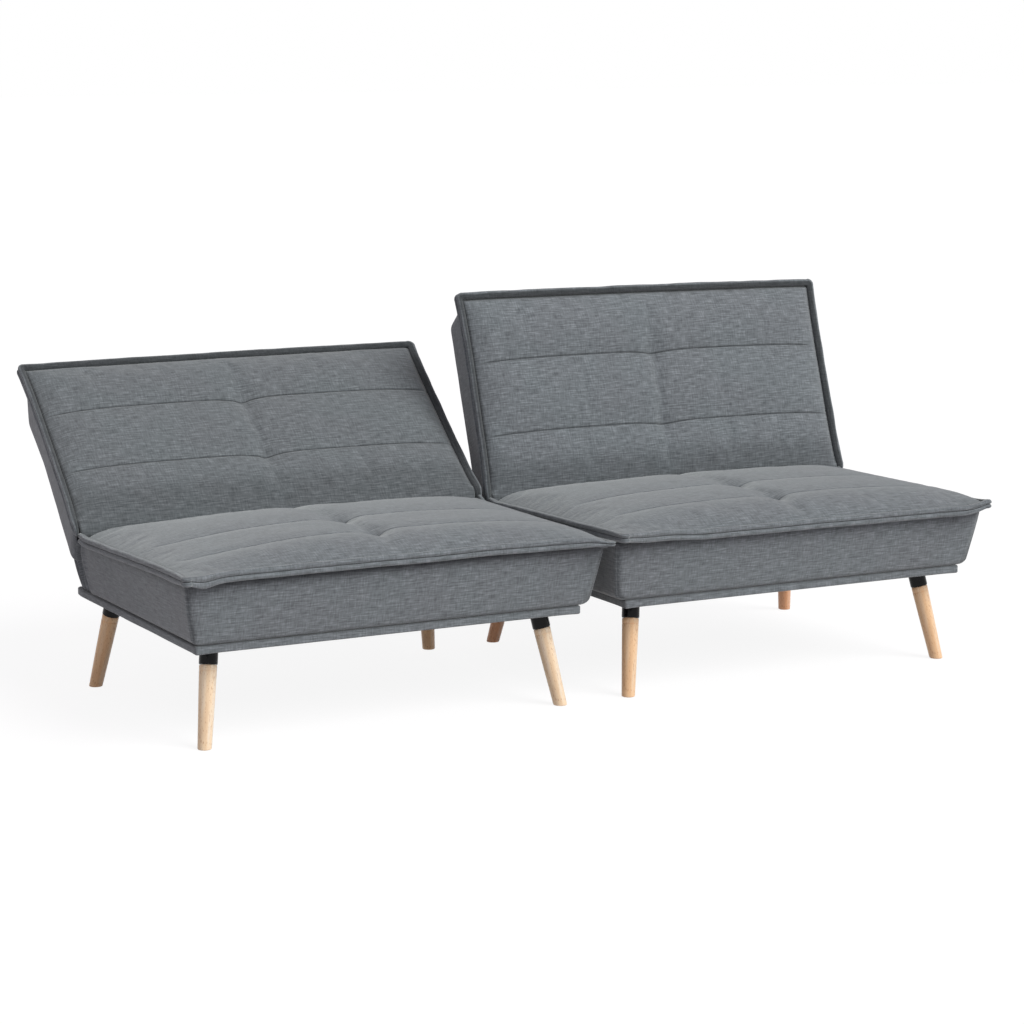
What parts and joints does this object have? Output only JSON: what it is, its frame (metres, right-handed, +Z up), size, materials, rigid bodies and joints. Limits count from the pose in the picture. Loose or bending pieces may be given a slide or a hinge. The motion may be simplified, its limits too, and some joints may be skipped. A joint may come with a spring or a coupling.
{
  "type": "sofa bed",
  "caption": "Armless split sofa bed: tufted modules on splayed wooden legs, each with a back that reclines flat on click-clack hinges.",
  "frame": {"origin": "on the floor, at the middle of the sofa's width and depth as it rests (left back in its middle notch, right back upright)", "axes": "+X along the sofa to its right, +Y to the rear, +Z up"},
  "size_m": [1.8294, 0.982, 0.7561],
  "materials": {
    "linen_weave": "matt woven blue-grey melange",
    "beech": "clear satin lacquer",
    "black_enamel": "gloss black",
    "sawn_pine": "bare sawn",
    "zinc_plate": "zinc plated",
    "spring_steel": "oiled wire"
  },
  "bodies": {
    "left_seat": {"left_base_board": "linen_weave", "left_seat_cover": "linen_weave", "left_seat_pad": "linen_weave", "left_seat_welt": "linen_weave", "left_hinge_skirt": "linen_weave", "left_leg_front_left": "beech", "left_ferrule_front_left": "black_enamel", "left_leg_front_right": "beech", "left_ferrule_front_right": "black_enamel", "left_leg_rear_left": "beech", "left_ferrule_rear_left": "black_enamel", "left_leg_rear_right": "beech", "left_ferrule_rear_right": "black_enamel", "left_seat_rail_left": "sawn_pine", "left_seat_rail_right": "sawn_pine", "left_seat_rail_front": "sawn_pine", "left_seat_rail_rear": "sawn_pine", "left_seat_spring_left": "spring_steel", "left_seat_bracket_left": "zinc_plate", "left_seat_spring_right": "spring_steel", "left_seat_bracket_right": "zinc_plate", "left_pivot_rod": "zinc_plate"},
    "left_back": {"left_back_board": "sawn_pine", "left_back_pad": "linen_weave", "left_back_welt": "linen_weave", "left_back_cover": "linen_weave", "left_back_bracket_left": "zinc_plate", "left_back_bracket_right": "zinc_plate"},
    "left_latch_left": {"left_pawl_left": "zinc_plate"},
    "left_latch_right": {"left_pawl_right": "zinc_plate"},
    "right_seat": {"right_base_board": "linen_weave", "right_seat_cover": "linen_weave", "right_seat_pad": "linen_weave", "right_seat_welt": "linen_weave", "right_hinge_skirt": "linen_weave", "right_leg_front_left": "beech", "right_ferrule_front_left": "black_enamel", "right_leg_front_right": "beech", "right_ferrule_front_right": "black_enamel", "right_leg_rear_left": "beech", "right_ferrule_rear_left": "black_enamel", "right_leg_rear_right": "beech", "right_ferrule_rear_right": "black_enamel", "right_seat_rail_left": "sawn_pine", "right_seat_rail_right": "sawn_pine", "right_seat_rail_front": "sawn_pine", "right_seat_rail_rear": "sawn_pine", "right_seat_spring_left": "spring_steel", "right_seat_bracket_left": "zinc_plate", "right_seat_spring_right": "spring_steel", "right_seat_bracket_right": "zinc_plate", "right_pivot_rod": "zinc_plate"},
    "right_back": {"right_back_board": "sawn_pine", "right_back_pad": "linen_weave", "right_back_welt": "linen_weave", "right_back_cover": "linen_weave", "right_back_bracket_left": "zinc_plate", "right_back_bracket_right": "zinc_plate"},
    "right_latch_left": {"right_pawl_left": "zinc_plate"},
    "right_latch_right": {"right_pawl_right": "zinc_plate"}
  },
  "joints": [
    {"name": "modules_apart", "type": "slide", "parent": "left_seat", "child": "right_seat", "axis": [1, 0, 0], "range_m": [0, 0.3]},
    {"name": "left_recline", "type": "hinge", "parent": "left_seat", "child": "left_back", "pos_m": [-0.4575, 0.12457, 0.3381], "axis": [-1, 0, 0], "range_deg": [-32.42, 38.91], "deforming": ["left_hinge_skirt"]},
    {"name": "left_pawl_left_rock", "type": "hinge", "parent": "left_seat", "child": "left_latch_left", "pos_m": [-0.4575, 0.10952, 0.29675], "axis": [1, 0, 0], "range_deg": [0, 8], "stiffness_Nm_per_rad": 0.5, "springref_deg": -5.73},
    {"name": "left_pawl_right_rock", "type": "hinge", "parent": "left_seat", "child": "left_latch_right", "pos_m": [-0.4575, 0.10952, 0.29675], "axis": [1, 0, 0], "range_deg": [0, 8], "stiffness_Nm_per_rad": 0.5, "springref_deg": -5.73},
    {"name": "right_recline", "type": "hinge", "parent": "right_seat", "child": "right_back", "pos_m": [0.4575, 0.12457, 0.3381], "axis": [-1, 0, 0], "range_deg": [0, 71.33], "deforming": ["right_hinge_skirt"]},
    {"name": "right_pawl_left_rock", "type": "hinge", "parent": "right_seat", "child": "right_latch_left", "pos_m": [0.4575, 0.10952, 0.29675], "axis": [1, 0, 0], "range_deg": [0, 8], "stiffness_Nm_per_rad": 0.5, "springref_deg": -5.73},
    {"name": "right_pawl_right_rock", "type": "hinge", "parent": "right_seat", "child": "right_latch_right", "pos_m": [0.4575, 0.10952, 0.29675], "axis": [1, 0, 0], "range_deg": [0, 8], "stiffness_Nm_per_rad": 0.5, "springref_deg": -5.73}
  ]
}
